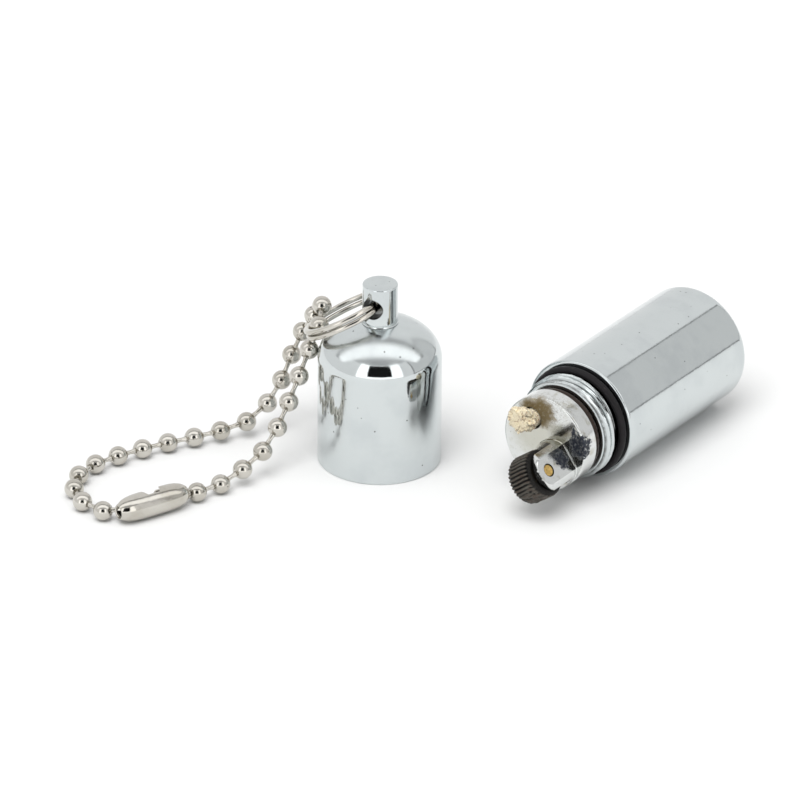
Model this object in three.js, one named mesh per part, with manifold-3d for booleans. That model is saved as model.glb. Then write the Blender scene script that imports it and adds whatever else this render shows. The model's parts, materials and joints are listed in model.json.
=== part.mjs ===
import * as THREE from 'three';
import { mergeVertices } from 'three/addons/utils/BufferGeometryUtils.js';
import Module from 'manifold-3d';

// Capsule lighter, opened: the tank lies on its side with its mouth towards -Y, and the cap stands on
// its mouth beside it with a split ring and a ball chain. Millimetres, +Z up, the table is z = 0.
// Tank and insert are drawn upright in their own frame: z runs out of the mouth, z = 0 is the flange face.

// ---- Driving dimensions ----
const BODY_R = 7.5;
const WALL = 0.8;
const BODY_SIDES = 40;
const SMALL_SIDES = 16;

const TANK_LENGTH = 32.4;
const TANK_FLOOR = 1.0;
const TANK_END_ROUND = 1.0;
const SHOULDER_Z = -7.4;
const SHOULDER_BEVEL = 0.3;
const NECK_TOP_Z = -3.65;
const NECK_R = 6.0;
const NECK_BORE_R = 5.1;
const GROOVE_R = 5.95;
const GROOVE_TOP_Z = -6.4;
const NECK_BEVEL = 0.25;

const THREAD_PITCH = 0.8;
const THREAD_TURNS = 2.4;
const THREAD_HEIGHT = 0.45;
const THREAD_FOOT = 0.32;
const THREAD_CREST = 0.1;
const THREAD_STEPS = 20;

const CAP_SEAL_R = 6.48;
const CAP_SEAL_SECTION_R = 0.46;

const FLANGE_R = 5.84;
const FLANGE_THICKNESS = 2.5;
const PLUG_R = 4.8;
const PLUG_END_Z = -8.6;
const EDGE_BEVEL = 0.2;
const INSERT_SEAL_R = 5.62;

const POST_Y = -2.8;
const COLUMN_R = 3.0;
const COLUMN_HALF_WIDTH = 2.5;
const COLUMN_TOP_Z = 5.5;
const SLOT_HALF_WIDTH = 1.75;
const SLOT_FLOOR_Z = 1.1;

const WHEEL_Z = 4.4;
const WHEEL_R = 3.0;
const WHEEL_HALF_WIDTH = 1.45;
const WHEEL_TEETH = 36;
const TOOTH_DEPTH = 0.22;
const RIVET_R = 0.7;
const RIVET_HOLE_R = 0.82;

const FLINT_R = 1.1;
const FLINT_BORE_R = 1.27;
const FLINT_TOP_Z = 1.3;
const FLINT_LENGTH = 5.0;
const FLINT_TUBE_R = 1.9;
const FLINT_TUBE_END_Z = -24.0;
const SPRING_R = 0.85;
const SPRING_WIRE_R = 0.17;
const SPRING_TURNS = 10;
const SCREW_SHANK_LENGTH = 3.2;
const SCREW_HEAD_R = 2.0;
const SCREW_HEAD_HEIGHT = 1.2;
const SCREW_SLOT_WIDTH = 0.6;

const WICK_Y = 3.3;
const WICK_R = 1.2;
const WICK_HOLE_R = 1.45;
const WICK_TUFT_R = 1.75;
const WICK_TOP_Z = 2.3;
const WICK_END_Z = -20.0;
const WICK_LEAN = 0.8;

const WADDING_R = 6.3;
const WADDING_TOP_Z = -10.6;

const CAP_EDGE_Z = 13.4;
const CAP_DOME_HEIGHT = 5.1;
const CAP_INNER_R = 6.65;
const CAP_CROWN = 1.1;
const CAP_THREAD_R = 6.15;
const SEAT_R = 2.3;
const TENON_R = 1.2;
const TENON_HOLE_R = 1.35;

const STUD_R = 2.14;
const STUD_TOP_Z = 23.4;
const STUD_HOLE_Z = 20.76;
const STUD_HOLE_R = 1.3;

const RING_R = 5.3;
const RING_OFFSET = 5.1;
const RING_TURN = THREE.MathUtils.degToRad(7.5);
const RING_DROOP = THREE.MathUtils.degToRad(30.5);
const COIL_WIDTH = 0.8;
const COIL_THICKNESS = 0.62;
const COIL_GAP = 0.12;
const COIL_STEPS = 28;

const BEAD_R = 1.2;
const BEAD_PITCH = 3.42;
const PIN_R = 0.3;
const PIN_GAP = 0.08;
const CLASP_R = 1.65;
const CLASP_WALL = 0.25;
const CLASP_END = 1.85;
const CLASP_MOUTH_R = 0.85;
const CLASP_SLOT = 0.7;
const CLASP_TURN = THREE.MathUtils.degToRad(-159);

// Where the tank's flange face stands, with the cap's axis at x = y = 0.
const TANK_X = 22.0;
const TANK_Y = 3.2;
const INSERT_ROLL = THREE.MathUtils.degToRad(37);

// Hand-laid course of the ball chain from the bead on top of the split ring down to the clasp.
const REAR_COURSE = [
  [-8.85, 0.3, 17.6], [-10.9, 1.5, 15.2], [-12.8, 1.7, 12.3], [-13.85, 0.95, 9.1], [-13.5, -1.6, 6.8],
  [-14.6, -3.0, 3.9], [-15.8, -5.6, 2.1], [-19.4, -11.2, 1.25], [-22.7, -17.2, 1.2], [-24.9, -23.7, 1.2],
  [-24.8, -27.2, 1.2], [-23.2, -30.2, 1.2], [-20.4, -32.2, 1.2], [-17.0, -32.6, 1.2], [-13.6, -30.4, 1.75],
];
const FRONT_COURSE = [
  [-8.85, 0.3, 17.6], [-7.18, -2.49, 16.54], [-8.12, -3.26, 13.33], [-8.0, -5.5, 10.7], [-7.7, -10.2, 5.9],
  [-8.0, -12.8, 3.6], [-9.7, -18.9, 1.25], [-10.8, -22.2, 1.2], [-12.2, -25.9, 1.75],
];
const REAR_BEADS = 17;
const FRONT_BEADS = 10;

// ---- Materials ----
const chrome = new THREE.MeshStandardMaterial({ color: 0xc9cdd0, roughness: 0.12, metalness: 1 });
const insertChrome = new THREE.MeshStandardMaterial({ color: 0xcfd0cc, roughness: 0.22, metalness: 1 });
const chainSteel = new THREE.MeshStandardMaterial({ color: 0xcbc6b8, roughness: 0.15, metalness: 1 });
const wheelSteel = new THREE.MeshStandardMaterial({ color: 0x35322d, roughness: 0.55, metalness: 0.8 });
const springSteel = new THREE.MeshStandardMaterial({ color: 0x9a9a96, roughness: 0.35, metalness: 1 });
const brass = new THREE.MeshStandardMaterial({ color: 0xc79a3c, roughness: 0.3, metalness: 1 });
const rubber = new THREE.MeshStandardMaterial({ color: 0x0d0d0e, roughness: 0.55, metalness: 0 });
const cotton = new THREE.MeshStandardMaterial({ color: 0xdfcfa4, roughness: 0.95, metalness: 0 });
const ferrocerium = new THREE.MeshStandardMaterial({ color: 0x5a5855, roughness: 0.6, metalness: 0.6 });

// ---- Solids ----
const wasm = await Module();
wasm.setup();

// One closed triangle mesh, shared corners merged, slivers dropped, faces pointing out.
function closed(geometry) {
  const bare = new THREE.BufferGeometry();
  bare.setAttribute('position', geometry.getAttribute('position').clone());
  if (geometry.index) bare.setIndex(geometry.index.clone());
  const merged = mergeVertices(bare, 1e-5);
  const corners = merged.getAttribute('position');
  const triangles = [];
  let volume = 0;
  const [a, b, c] = [new THREE.Vector3(), new THREE.Vector3(), new THREE.Vector3()];
  for (let i = 0; i < merged.index.count; i += 3) {
    const [p, q, r] = [0, 1, 2].map((k) => merged.index.getX(i + k));
    if (p === q || q === r || r === p) continue;
    triangles.push([p, q, r]);
    a.fromBufferAttribute(corners, p);
    b.fromBufferAttribute(corners, q);
    c.fromBufferAttribute(corners, r);
    volume += a.dot(b.cross(c));
  }
  const outward = volume > 0 ? triangles : triangles.map(([p, q, r]) => [p, r, q]);
  merged.setIndex(outward.flat());
  return merged;
}

function toManifold(geometry) {
  const mesh = closed(geometry);
  return new wasm.Manifold(new wasm.Mesh({
    numProp: 3,
    vertProperties: new Float32Array(mesh.getAttribute('position').array),
    triVerts: new Uint32Array(mesh.index.array),
  }));
}

function toGeometry(manifold) {
  const mesh = manifold.getMesh();
  const geometry = new THREE.BufferGeometry();
  geometry.setAttribute('position', new THREE.BufferAttribute(mesh.vertProperties, 3));
  geometry.setIndex(new THREE.BufferAttribute(mesh.triVerts, 1));
  return geometry;
}

function carve(base, { add = [], cut = [] }) {
  let solid = toManifold(base);
  for (const tool of add) solid = solid.add(toManifold(tool));
  for (const tool of cut) solid = solid.subtract(toManifold(tool));
  return toGeometry(solid);
}

function common(base, other) {
  return toGeometry(toManifold(base).intersect(toManifold(other)));
}

// Solid of revolution about z from [radius, z] points.
function turned(profile, sides = BODY_SIDES) {
  const points = profile.map(([r, z]) => new THREE.Vector2(r, z));
  const geometry = new THREE.LatheGeometry(points, sides, Math.PI / sides);
  return geometry.rotateX(Math.PI / 2);
}

function rod(radius, z0, z1, sides = SMALL_SIDES) {
  return new THREE.CylinderGeometry(radius, radius, z1 - z0, sides)
    .rotateX(Math.PI / 2)
    .translate(0, 0, (z0 + z1) / 2);
}

function arc(r, z, radius, from, to, steps) {
  return Array.from({ length: steps + 1 }, (_, i) => {
    const angle = from + (to - from) * i / steps;
    return [r + radius * Math.cos(angle), z + radius * Math.sin(angle)];
  });
}

// Closed skin over a row of equal outlines, with both ends capped by fans.
function skinned(outlines) {
  const count = outlines[0].length;
  const positions = outlines.flat(2);
  const index = [];
  for (let i = 0; i + 1 < outlines.length; i += 1) {
    for (let k = 0; k < count; k += 1) {
      const next = (k + 1) % count;
      const [a, b] = [i * count + k, i * count + next];
      index.push(a, a + count, b, b, a + count, b + count);
    }
  }
  const last = (outlines.length - 1) * count;
  for (let k = 1; k + 1 < count; k += 1) {
    index.push(0, k, k + 1, last, last + k + 1, last + k);
  }
  const geometry = new THREE.BufferGeometry();
  geometry.setAttribute('position', new THREE.Float32BufferAttribute(positions, 3));
  geometry.setIndex(index);
  return geometry;
}

// Helical ridge with a trapezoid section, faded in and out over a quarter turn at its ends.
function threadRidge(rootR, crestR, zStart) {
  const steps = Math.round(THREAD_TURNS * THREAD_STEPS);
  const inward = Math.sign(rootR - crestR);
  const footR = rootR + inward * 0.2;
  const outlines = [];
  for (let i = 0; i <= steps; i += 1) {
    const turns = i / THREAD_STEPS;
    const angle = turns * 2 * Math.PI;
    const fade = Math.min(1, Math.min(turns, THREAD_TURNS - turns) * 4 + 0.05);
    const tipR = rootR + (crestR - rootR) * fade;
    const z = zStart + turns * THREAD_PITCH;
    const section = [
      [footR, z - THREAD_FOOT], [tipR, z - THREAD_CREST], [tipR, z + THREAD_CREST], [footR, z + THREAD_FOOT],
    ];
    outlines.push(section.map(([r, height]) => [r * Math.cos(angle), r * Math.sin(angle), height]));
  }
  return skinned(outlines);
}

function piece(name, geometry, material) {
  const mesh = new THREE.Mesh(closed(geometry), material);
  mesh.name = name;
  return mesh;
}

// ---- Tank ----
function fuelTank() {
  const end = TANK_END_ROUND;
  const inner = BODY_R - WALL;
  const innerEnd = end - WALL;
  const floorZ = -TANK_LENGTH + TANK_FLOOR;
  const profile = [
    [0, -TANK_LENGTH],
    ...arc(BODY_R - end, -TANK_LENGTH + end, end, -Math.PI / 2, 0, 5),
    [BODY_R, SHOULDER_Z - SHOULDER_BEVEL],
    [BODY_R - SHOULDER_BEVEL, SHOULDER_Z],
    [GROOVE_R, SHOULDER_Z],
    [GROOVE_R, GROOVE_TOP_Z],
    [NECK_R, GROOVE_TOP_Z],
    [NECK_R, NECK_TOP_Z - NECK_BEVEL],
    [NECK_R - NECK_BEVEL, NECK_TOP_Z],
    [NECK_BORE_R, NECK_TOP_Z],
    [NECK_BORE_R, SHOULDER_Z - 0.7],
    [inner, SHOULDER_Z - 2],
    ...arc(inner - innerEnd, floorZ + innerEnd, innerEnd, 0, -Math.PI / 2, 3),
    [0, floorZ],
  ];
  const ridgeStart = GROOVE_TOP_Z + THREAD_FOOT + 0.05;
  const ridge = threadRidge(NECK_R, NECK_R + THREAD_HEIGHT, ridgeStart);
  return piece('fuel_tank', carve(turned(profile), { add: [ridge] }), chrome);
}

function capSealRing() {
  const z = (SHOULDER_Z + GROOVE_TOP_Z) / 2;
  const section = arc(CAP_SEAL_R, z, CAP_SEAL_SECTION_R, 0, 2 * Math.PI, 10);
  return piece('cap_seal_ring', turned(section), rubber);
}

function fuelWadding() {
  const bottomZ = -TANK_LENGTH + TANK_FLOOR + 0.3;
  const body = turned([
    [0, bottomZ], [WADDING_R - 0.8, bottomZ], [WADDING_R, bottomZ + 0.8],
    [WADDING_R, WADDING_TOP_Z - 0.4], [WADDING_R - 0.4, WADDING_TOP_Z], [0, WADDING_TOP_Z],
  ], 24);
  const screwRoom = FLINT_TUBE_END_Z - SCREW_HEAD_HEIGHT - 3.4;
  const tubeWay = rod(SCREW_HEAD_R + 0.35, screwRoom, WADDING_TOP_Z + 1).translate(0, POST_Y, 0);
  const wickWay = rod(WICK_R + 0.3, WICK_END_Z - 0.4, WADDING_TOP_Z + 1).translate(0, WICK_Y, 0);
  return piece('fuel_wadding', carve(body, { cut: [tubeWay, wickWay] }), cotton);
}

// ---- Insert ----
function insertHead() {
  const flange = turned([
    [0, 0], [FLANGE_R - EDGE_BEVEL, 0], [FLANGE_R, -EDGE_BEVEL],
    [FLANGE_R, -FLANGE_THICKNESS + EDGE_BEVEL], [FLANGE_R - EDGE_BEVEL, -FLANGE_THICKNESS],
    [PLUG_R, -FLANGE_THICKNESS], [PLUG_R, PLUG_END_Z + EDGE_BEVEL], [PLUG_R - EDGE_BEVEL, PLUG_END_Z],
    [0, PLUG_END_Z],
  ]);
  const round = turned([
    [0, -1], [COLUMN_R, -1], [COLUMN_R, COLUMN_TOP_Z - 0.3], [COLUMN_R - 0.3, COLUMN_TOP_Z],
    [0, COLUMN_TOP_Z],
  ], 32).translate(0, POST_Y, 0);
  const flats = new THREE.BoxGeometry(2 * COLUMN_HALF_WIDTH, 20, 20);
  const column = common(round, flats);
  const tube = rod(FLINT_TUBE_R, FLINT_TUBE_END_Z, PLUG_END_Z + 1).translate(0, POST_Y, 0);
  const slotDepth = COLUMN_TOP_Z + 1 - SLOT_FLOOR_Z;
  const slot = new THREE.BoxGeometry(2 * SLOT_HALF_WIDTH, 4 * COLUMN_R, slotDepth)
    .translate(0, POST_Y, SLOT_FLOOR_Z + slotDepth / 2);
  const bore = rod(FLINT_BORE_R, FLINT_TUBE_END_Z - 1, COLUMN_TOP_Z).translate(0, POST_Y, 0);
  const rivetHole = rod(RIVET_HOLE_R, -COLUMN_R, COLUMN_R).rotateY(Math.PI / 2)
    .translate(0, POST_Y, WHEEL_Z);
  const wickHole = rod(WICK_HOLE_R, PLUG_END_Z - 1, 1, 20).translate(0, WICK_Y, 0);
  const body = carve(flange, { add: [column, tube], cut: [slot, bore, rivetHole, wickHole] });
  return piece('insert_head', body, insertChrome);
}

function insertSealRing() {
  const bottomZ = NECK_TOP_Z + 0.12;
  const topZ = -FLANGE_THICKNESS - 0.1;
  const profile = [
    [NECK_BORE_R, bottomZ], [INSERT_SEAL_R, bottomZ], [INSERT_SEAL_R + 0.1, (bottomZ + topZ) / 2],
    [INSERT_SEAL_R, topZ], [NECK_BORE_R, topZ], [NECK_BORE_R, bottomZ],
  ];
  return piece('insert_seal_ring', turned(profile), rubber);
}

function flintWheel() {
  const outline = new THREE.Shape();
  for (let i = 0; i < WHEEL_TEETH; i += 1) {
    const tip = i / WHEEL_TEETH * 2 * Math.PI;
    const root = tip + Math.PI / WHEEL_TEETH;
    const rootR = WHEEL_R - TOOTH_DEPTH;
    const point = [WHEEL_R * Math.cos(tip), WHEEL_R * Math.sin(tip)];
    if (i === 0) outline.moveTo(...point);
    else outline.lineTo(...point);
    outline.lineTo(rootR * Math.cos(root), rootR * Math.sin(root));
  }
  const hole = new THREE.Path().absarc(0, 0, RIVET_HOLE_R, 0, 2 * Math.PI, true);
  outline.holes.push(hole);
  const depth = 2 * WHEEL_HALF_WIDTH;
  const body = new THREE.ExtrudeGeometry(outline, { depth, bevelEnabled: false, curveSegments: 8 })
    .translate(0, 0, -WHEEL_HALF_WIDTH)
    .rotateY(Math.PI / 2)
    .translate(0, POST_Y, WHEEL_Z);
  return piece('flint_wheel', body, wheelSteel);
}

function wheelRivet() {
  const half = COLUMN_HALF_WIDTH - 0.02;
  const profile = [
    [0, -half], [RIVET_R - 0.12, -half], [RIVET_R, -half + 0.12],
    [RIVET_R, half - 0.12], [RIVET_R - 0.12, half], [0, half],
  ];
  const body = turned(profile, SMALL_SIDES).rotateY(Math.PI / 2).translate(0, POST_Y, WHEEL_Z);
  return piece('wheel_rivet', body, brass);
}

function flint() {
  const body = rod(FLINT_R, FLINT_TOP_Z - FLINT_LENGTH, FLINT_TOP_Z).translate(0, POST_Y, 0);
  return piece('flint', body, ferrocerium);
}

const springTopZ = FLINT_TOP_Z - FLINT_LENGTH - 0.1 - SPRING_WIRE_R;
const screwTopZ = FLINT_TUBE_END_Z - 0.1 + SCREW_SHANK_LENGTH;
const springBottomZ = screwTopZ + 0.1 + SPRING_WIRE_R;

function flintSpring() {
  const steps = SPRING_TURNS * 8;
  const outlines = [];
  for (let i = 0; i <= steps; i += 1) {
    const angle = i / steps * SPRING_TURNS * 2 * Math.PI;
    const z = springBottomZ + (springTopZ - springBottomZ) * i / steps;
    outlines.push(arc(SPRING_R, z, SPRING_WIRE_R, 0, 1.5 * Math.PI, 3)
      .map(([r, height]) => [r * Math.cos(angle), r * Math.sin(angle), height]));
  }
  return piece('flint_spring', skinned(outlines).translate(0, POST_Y, 0), springSteel);
}

function flintScrew() {
  const headTopZ = FLINT_TUBE_END_Z - 0.1;
  const bottomZ = headTopZ - SCREW_HEAD_HEIGHT;
  const body = turned([
    [0, bottomZ], [SCREW_HEAD_R - 0.2, bottomZ], [SCREW_HEAD_R, bottomZ + 0.2],
    [SCREW_HEAD_R, headTopZ], [FLINT_R, headTopZ], [FLINT_R, screwTopZ], [0, screwTopZ],
  ], SMALL_SIDES);
  const slot = new THREE.BoxGeometry(SCREW_SLOT_WIDTH, 3 * SCREW_HEAD_R, 1).translate(0, 0, bottomZ);
  return piece('flint_screw', toGeometry(toManifold(body).subtract(toManifold(slot)))
    .translate(0, POST_Y, 0), brass);
}

function wick() {
  const top = WICK_TOP_Z;
  const profile = [
    [0, WICK_END_Z], [WICK_R, WICK_END_Z], [WICK_R, -12], [WICK_R, -6], [WICK_R, 0.2],
    [WICK_TUFT_R - 0.1, top * 0.4], [WICK_TUFT_R, top * 0.65], [WICK_TUFT_R * 0.8, top * 0.9], [0, top],
  ];
  const body = turned(profile, SMALL_SIDES).translate(0, WICK_Y, 0);
  const corners = body.getAttribute('position');
  for (let i = 0; i < corners.count; i += 1) {
    const rise = THREE.MathUtils.smoothstep(corners.getZ(i), 0.2, top);
    corners.setY(i, corners.getY(i) + WICK_LEAN * rise);
  }
  return piece('wick', body, cotton);
}

// ---- Cap ----
const domeZ = (r) => CAP_EDGE_Z + CAP_DOME_HEIGHT * Math.sqrt(1 - (r / BODY_R) ** 2);
const seatZ = domeZ(SEAT_R);

function capShell() {
  const crownInnerZ = (r) => domeZ(r * BODY_R / CAP_INNER_R) - CAP_CROWN;
  const outerR = [7.46, 7.3, 7.0, 6.55, 6.0, 5.3, 4.4, 3.4, SEAT_R];
  const innerR = [TENON_HOLE_R, 3, 4.4, 5.5, 6.2, 6.55];
  const profile = [
    [CAP_INNER_R + 0.25, 0], [BODY_R - 0.15, 0], [BODY_R, 0.15], [BODY_R, CAP_EDGE_Z],
    ...outerR.map((r) => [r, domeZ(r)]),
    [TENON_HOLE_R, seatZ],
    ...innerR.map((r) => [r, crownInnerZ(r)]),
    [CAP_INNER_R, CAP_EDGE_Z - CAP_CROWN], [CAP_INNER_R, 0.25], [CAP_INNER_R + 0.25, 0],
  ];
  const ridge = threadRidge(CAP_INNER_R, CAP_THREAD_R, 1.6);
  return piece('cap_shell', carve(turned(profile), { add: [ridge] }), chrome);
}

function ringStud() {
  const bottomZ = seatZ + 0.05;
  const tenonZ = seatZ - CAP_CROWN - 0.6;
  const body = turned([
    [0, tenonZ], [TENON_R, tenonZ], [TENON_R, bottomZ], [STUD_R, bottomZ],
    [STUD_R, STUD_TOP_Z - 0.15], [STUD_R - 0.15, STUD_TOP_Z], [0, STUD_TOP_Z],
  ], 32);
  const hole = rod(STUD_HOLE_R, -2 * STUD_R, 2 * STUD_R, 20)
    .rotateX(Math.PI / 2)
    .rotateZ(RING_TURN)
    .translate(0, 0, STUD_HOLE_Z);
  return piece('ring_stud', carve(body, { cut: [hole] }), chrome);
}

// Two flat turns of rounded strip, one over the other, joined by a short step.
function splitRing() {
  const steps = 2 * COIL_STEPS;
  const layer = COIL_THICKNESS + COIL_GAP;
  const outlines = [];
  const half = [COIL_WIDTH / 2, COIL_THICKNESS / 2];
  const corner = 0.16;
  for (let i = 0; i <= steps; i += 1) {
    const turns = (i / steps) * 1.96 + 0.02;
    const angle = turns * 2 * Math.PI;
    const z = layer * (THREE.MathUtils.smoothstep(turns, 0.9, 1.1) - 0.5);
    const section = [
      [half[0], -half[1] + corner], [half[0], half[1] - corner], [half[0] - corner, half[1]],
      [corner - half[0], half[1]], [-half[0], half[1] - corner], [-half[0], corner - half[1]],
      [corner - half[0], -half[1]], [half[0] - corner, -half[1]],
    ];
    outlines.push(section.map(([dr, dz]) => [
      (RING_R + dr) * Math.cos(angle), (RING_R + dr) * Math.sin(angle), z + dz,
    ]));
  }
  return piece('split_ring', skinned(outlines), chainSteel);
}

// ---- Chain ----
// Bead centres one pitch apart along a smooth course, the first one at its start.
function beadCentres(course, count) {
  const curve = new THREE.CatmullRomCurve3(course.map((p) => new THREE.Vector3(...p)), false, 'centripetal');
  const fine = curve.getPoints(course.length * 60);
  const centres = [fine[0]];
  for (const point of fine) {
    const last = centres[centres.length - 1];
    if (centres.length <= count && point.distanceTo(last) >= BEAD_PITCH) {
      const centre = point.clone().sub(last).setLength(BEAD_PITCH).add(last);
      centre.z = Math.max(centre.z, BEAD_R);
      centres.push(centre);
    }
  }
  return centres;
}

function along(geometry, from, to) {
  const direction = to.clone().sub(from).normalize();
  const turn = new THREE.Quaternion().setFromUnitVectors(new THREE.Vector3(0, 0, 1), direction);
  return geometry.applyQuaternion(turn).translate(from.x, from.y, from.z);
}

function bead(name, centre, neighbour) {
  const ball = new THREE.SphereGeometry(BEAD_R, 10, 7)
    .rotateX(Math.PI / 2)
    .translate(centre.x, centre.y, centre.z);
  if (!neighbour) return piece(name, ball, chainSteel);
  const pin = along(rod(PIN_R, BEAD_R / 2, BEAD_PITCH - BEAD_R - PIN_GAP, 6), centre, neighbour);
  return piece(name, carve(ball, { add: [pin] }), chainSteel);
}

// Folded sleeve over the two end beads, open along one side, with a wider gap in the middle.
function chainClasp(first, firstPinTo, last, lastPinTo) {
  const length = first.distanceTo(last);
  const tip = length / 2 + CLASP_END;
  const half = [
    [CLASP_MOUTH_R, tip], [1.25, tip - 0.25], [1.52, tip - 0.8], [CLASP_R, tip - 1.8],
    [CLASP_R, 0],
  ];
  const outer = [...half, ...half.slice(0, -1).reverse().map(([r, z]) => [r, -z])];
  const inner = outer.map(([r, z]) => [r - CLASP_WALL, z]).reverse();
  const shell = turned([...outer, ...inner, outer[0]], 20);
  const seam = new THREE.BoxGeometry(2 * CLASP_R, CLASP_SLOT, 3 * tip).translate(CLASP_R, 0, 0);
  const gap = rod(BEAD_R, 0, 2 * CLASP_R).rotateY(Math.PI / 2);
  const middle = first.clone().add(last).multiplyScalar(0.5);
  const clasp = along(carve(shell, { cut: [seam, gap] }).rotateZ(CLASP_TURN), middle, last);
  const ways = [[first, firstPinTo], [last, lastPinTo]]
    .map(([from, to]) => along(rod(PIN_R + 0.22, 0, BEAD_PITCH, 10), from, to));
  return piece('chain_clasp', carve(clasp, { cut: ways }), chainSteel);
}

function ballChain() {
  const group = new THREE.Group();
  const rear = beadCentres(REAR_COURSE, REAR_BEADS);
  const front = beadCentres(FRONT_COURSE, FRONT_BEADS);
  const label = (i) => `chain_bead_${String(i).padStart(2, '0')}`;
  group.add(bead(label(1), rear[0], null));
  for (let i = 1; i <= REAR_BEADS; i += 1) group.add(bead(label(i + 1), rear[i], rear[i - 1]));
  for (let i = 1; i <= FRONT_BEADS; i += 1) {
    group.add(bead(label(REAR_BEADS + i + 1), front[i], front[i - 1]));
  }
  const [rearEnd, rearNext] = [rear[REAR_BEADS], rear[REAR_BEADS - 1]];
  const [frontEnd, frontNext] = [front[FRONT_BEADS], front[FRONT_BEADS - 1]];
  group.add(chainClasp(rearEnd, rearNext, frontEnd, frontNext));
  return group;
}

// ---- Assembly ----
function lighter() {
  const tank = new THREE.Group();
  tank.add(fuelTank(), capSealRing());
  tank.rotation.x = Math.PI / 2;

  const insert = new THREE.Group();
  insert.add(
    insertHead(), insertSealRing(), flintWheel(), wheelRivet(), flint(), flintSpring(), flintScrew(),
    wick(), fuelWadding(),
  );
  insert.rotation.set(Math.PI / 2, -INSERT_ROLL, 0, 'YXZ');

  const lying = new THREE.Group();
  lying.add(tank, insert);
  lying.position.set(TANK_X, TANK_Y, BODY_R * Math.cos(Math.PI / BODY_SIDES));

  const ring = new THREE.Group();
  const coil = splitRing();
  coil.position.x = -RING_OFFSET;
  ring.add(coil);
  ring.position.z = STUD_HOLE_Z;
  ring.rotation.set(0, -RING_DROOP, RING_TURN, 'ZYX');

  const whole = new THREE.Group();
  whole.add(lying, capShell(), ringStud(), ring, ballChain());
  const box = new THREE.Box3().setFromObject(whole, true);
  const middle = box.getCenter(new THREE.Vector3());
  whole.position.set(-middle.x, -middle.y, -box.min.z);
  return whole;
}

const assembly = new THREE.Group();
assembly.add(lighter());

export default assembly;
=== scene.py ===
import bmesh
import bpy
import json
import math
import numpy as np
from mathutils import Matrix, Vector, noise


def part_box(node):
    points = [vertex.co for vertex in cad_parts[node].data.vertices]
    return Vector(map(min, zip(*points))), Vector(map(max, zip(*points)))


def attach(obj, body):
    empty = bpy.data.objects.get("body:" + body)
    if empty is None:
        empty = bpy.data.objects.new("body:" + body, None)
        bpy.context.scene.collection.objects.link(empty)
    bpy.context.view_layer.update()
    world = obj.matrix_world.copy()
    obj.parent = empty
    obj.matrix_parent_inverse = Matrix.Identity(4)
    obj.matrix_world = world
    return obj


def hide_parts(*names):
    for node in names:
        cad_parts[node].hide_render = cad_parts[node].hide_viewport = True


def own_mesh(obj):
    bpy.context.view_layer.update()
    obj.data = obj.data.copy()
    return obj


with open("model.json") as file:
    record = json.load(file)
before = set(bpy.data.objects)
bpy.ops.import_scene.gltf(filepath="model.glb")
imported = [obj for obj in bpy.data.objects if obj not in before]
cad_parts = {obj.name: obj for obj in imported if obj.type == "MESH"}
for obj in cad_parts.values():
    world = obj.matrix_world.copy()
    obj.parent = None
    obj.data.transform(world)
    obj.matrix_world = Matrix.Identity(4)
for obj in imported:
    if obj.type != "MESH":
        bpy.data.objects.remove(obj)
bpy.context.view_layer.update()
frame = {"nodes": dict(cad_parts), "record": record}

# Lengths in the helpers are millimetres, as in the CAD. Every placing matrix also turns them into metres.
MM = 0.001
SCENE = bpy.context.scene


# ---- Camera ----
CAMERA_AZIMUTH = math.radians(35.53)
CAMERA_ELEVATION = math.radians(27.74)
CAMERA_ROLL = math.radians(0.43)
CAMERA_DISTANCE = 1.0
CAMERA_AIM = Vector((-0.00814, 0.01231, 0))
SENSOR, LENS = 36, 367.56


def make_camera():
    back = Vector((
        math.sin(CAMERA_AZIMUTH) * math.cos(CAMERA_ELEVATION),
        -math.cos(CAMERA_AZIMUTH) * math.cos(CAMERA_ELEVATION),
        math.sin(CAMERA_ELEVATION),
    ))
    data = bpy.data.cameras.new("camera")
    data.sensor_width = SENSOR
    data.lens = LENS
    data.clip_start, data.clip_end = 0.05, 20
    camera = bpy.data.objects.new("camera", data)
    camera.rotation_mode = "QUATERNION"
    camera.location = CAMERA_AIM + back * CAMERA_DISTANCE
    turn = (-back).to_track_quat("-Z", "Y")
    camera.rotation_quaternion = turn @ Matrix.Rotation(CAMERA_ROLL, 3, "Z").to_quaternion()
    SCENE.collection.objects.link(camera)
    SCENE.camera = camera


make_camera()

# ---- Sizes, as in the CAD ----
BODY_R, WALL, TANK_LENGTH, TANK_END_ROUND = 7.5, 0.8, 32.4, 1.0
SHOULDER_Z, NECK_TOP_Z, GROOVE_TOP_Z = -7.4, -3.65, -6.4
NECK_R, NECK_BORE_R, GROOVE_R = 6.0, 5.1, 5.95
THREAD_PITCH, THREAD_TURNS, THREAD_HEIGHT = 0.8, 2.4, 0.45
CAP_THREAD_Z, CAP_THREAD_HEIGHT, CAP_THREADED = 1.6, 0.46, (1.1, 4.4)
CAP_SEAL_R, INSERT_SEAL_R = 6.5, 5.37
FLANGE_R, FLANGE_THICKNESS, PLUG_R, PLUG_END_Z = 5.84, 2.5, 4.8, -8.6
POST_Y, COLUMN_R, COLUMN_FLAT, COLUMN_TOP_Z = -2.8, 3.0, 2.5, 5.5
EAR_RISE, EAR_HALF = 0.65, 1.66
SLOT_HALF, SLOT_FLOOR_Z, WHEEL_Z, WHEEL_R, WHEEL_HALF = 1.75, 1.1, 4.4, 3.0, 1.6
RIVET_R, RIVET_HOLE_R, RIVET_HALF = 0.7, 0.82, 2.48
TUBE_R, TUBE_END_Z, FLINT_BORE_R, FLINT_FEED = 1.9, -24.0, 1.27, 1.5
FLINT_R, FLINT_LOW_Z, FLINT_TOP_Z = 1.1, -3.7, 1.3
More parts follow.
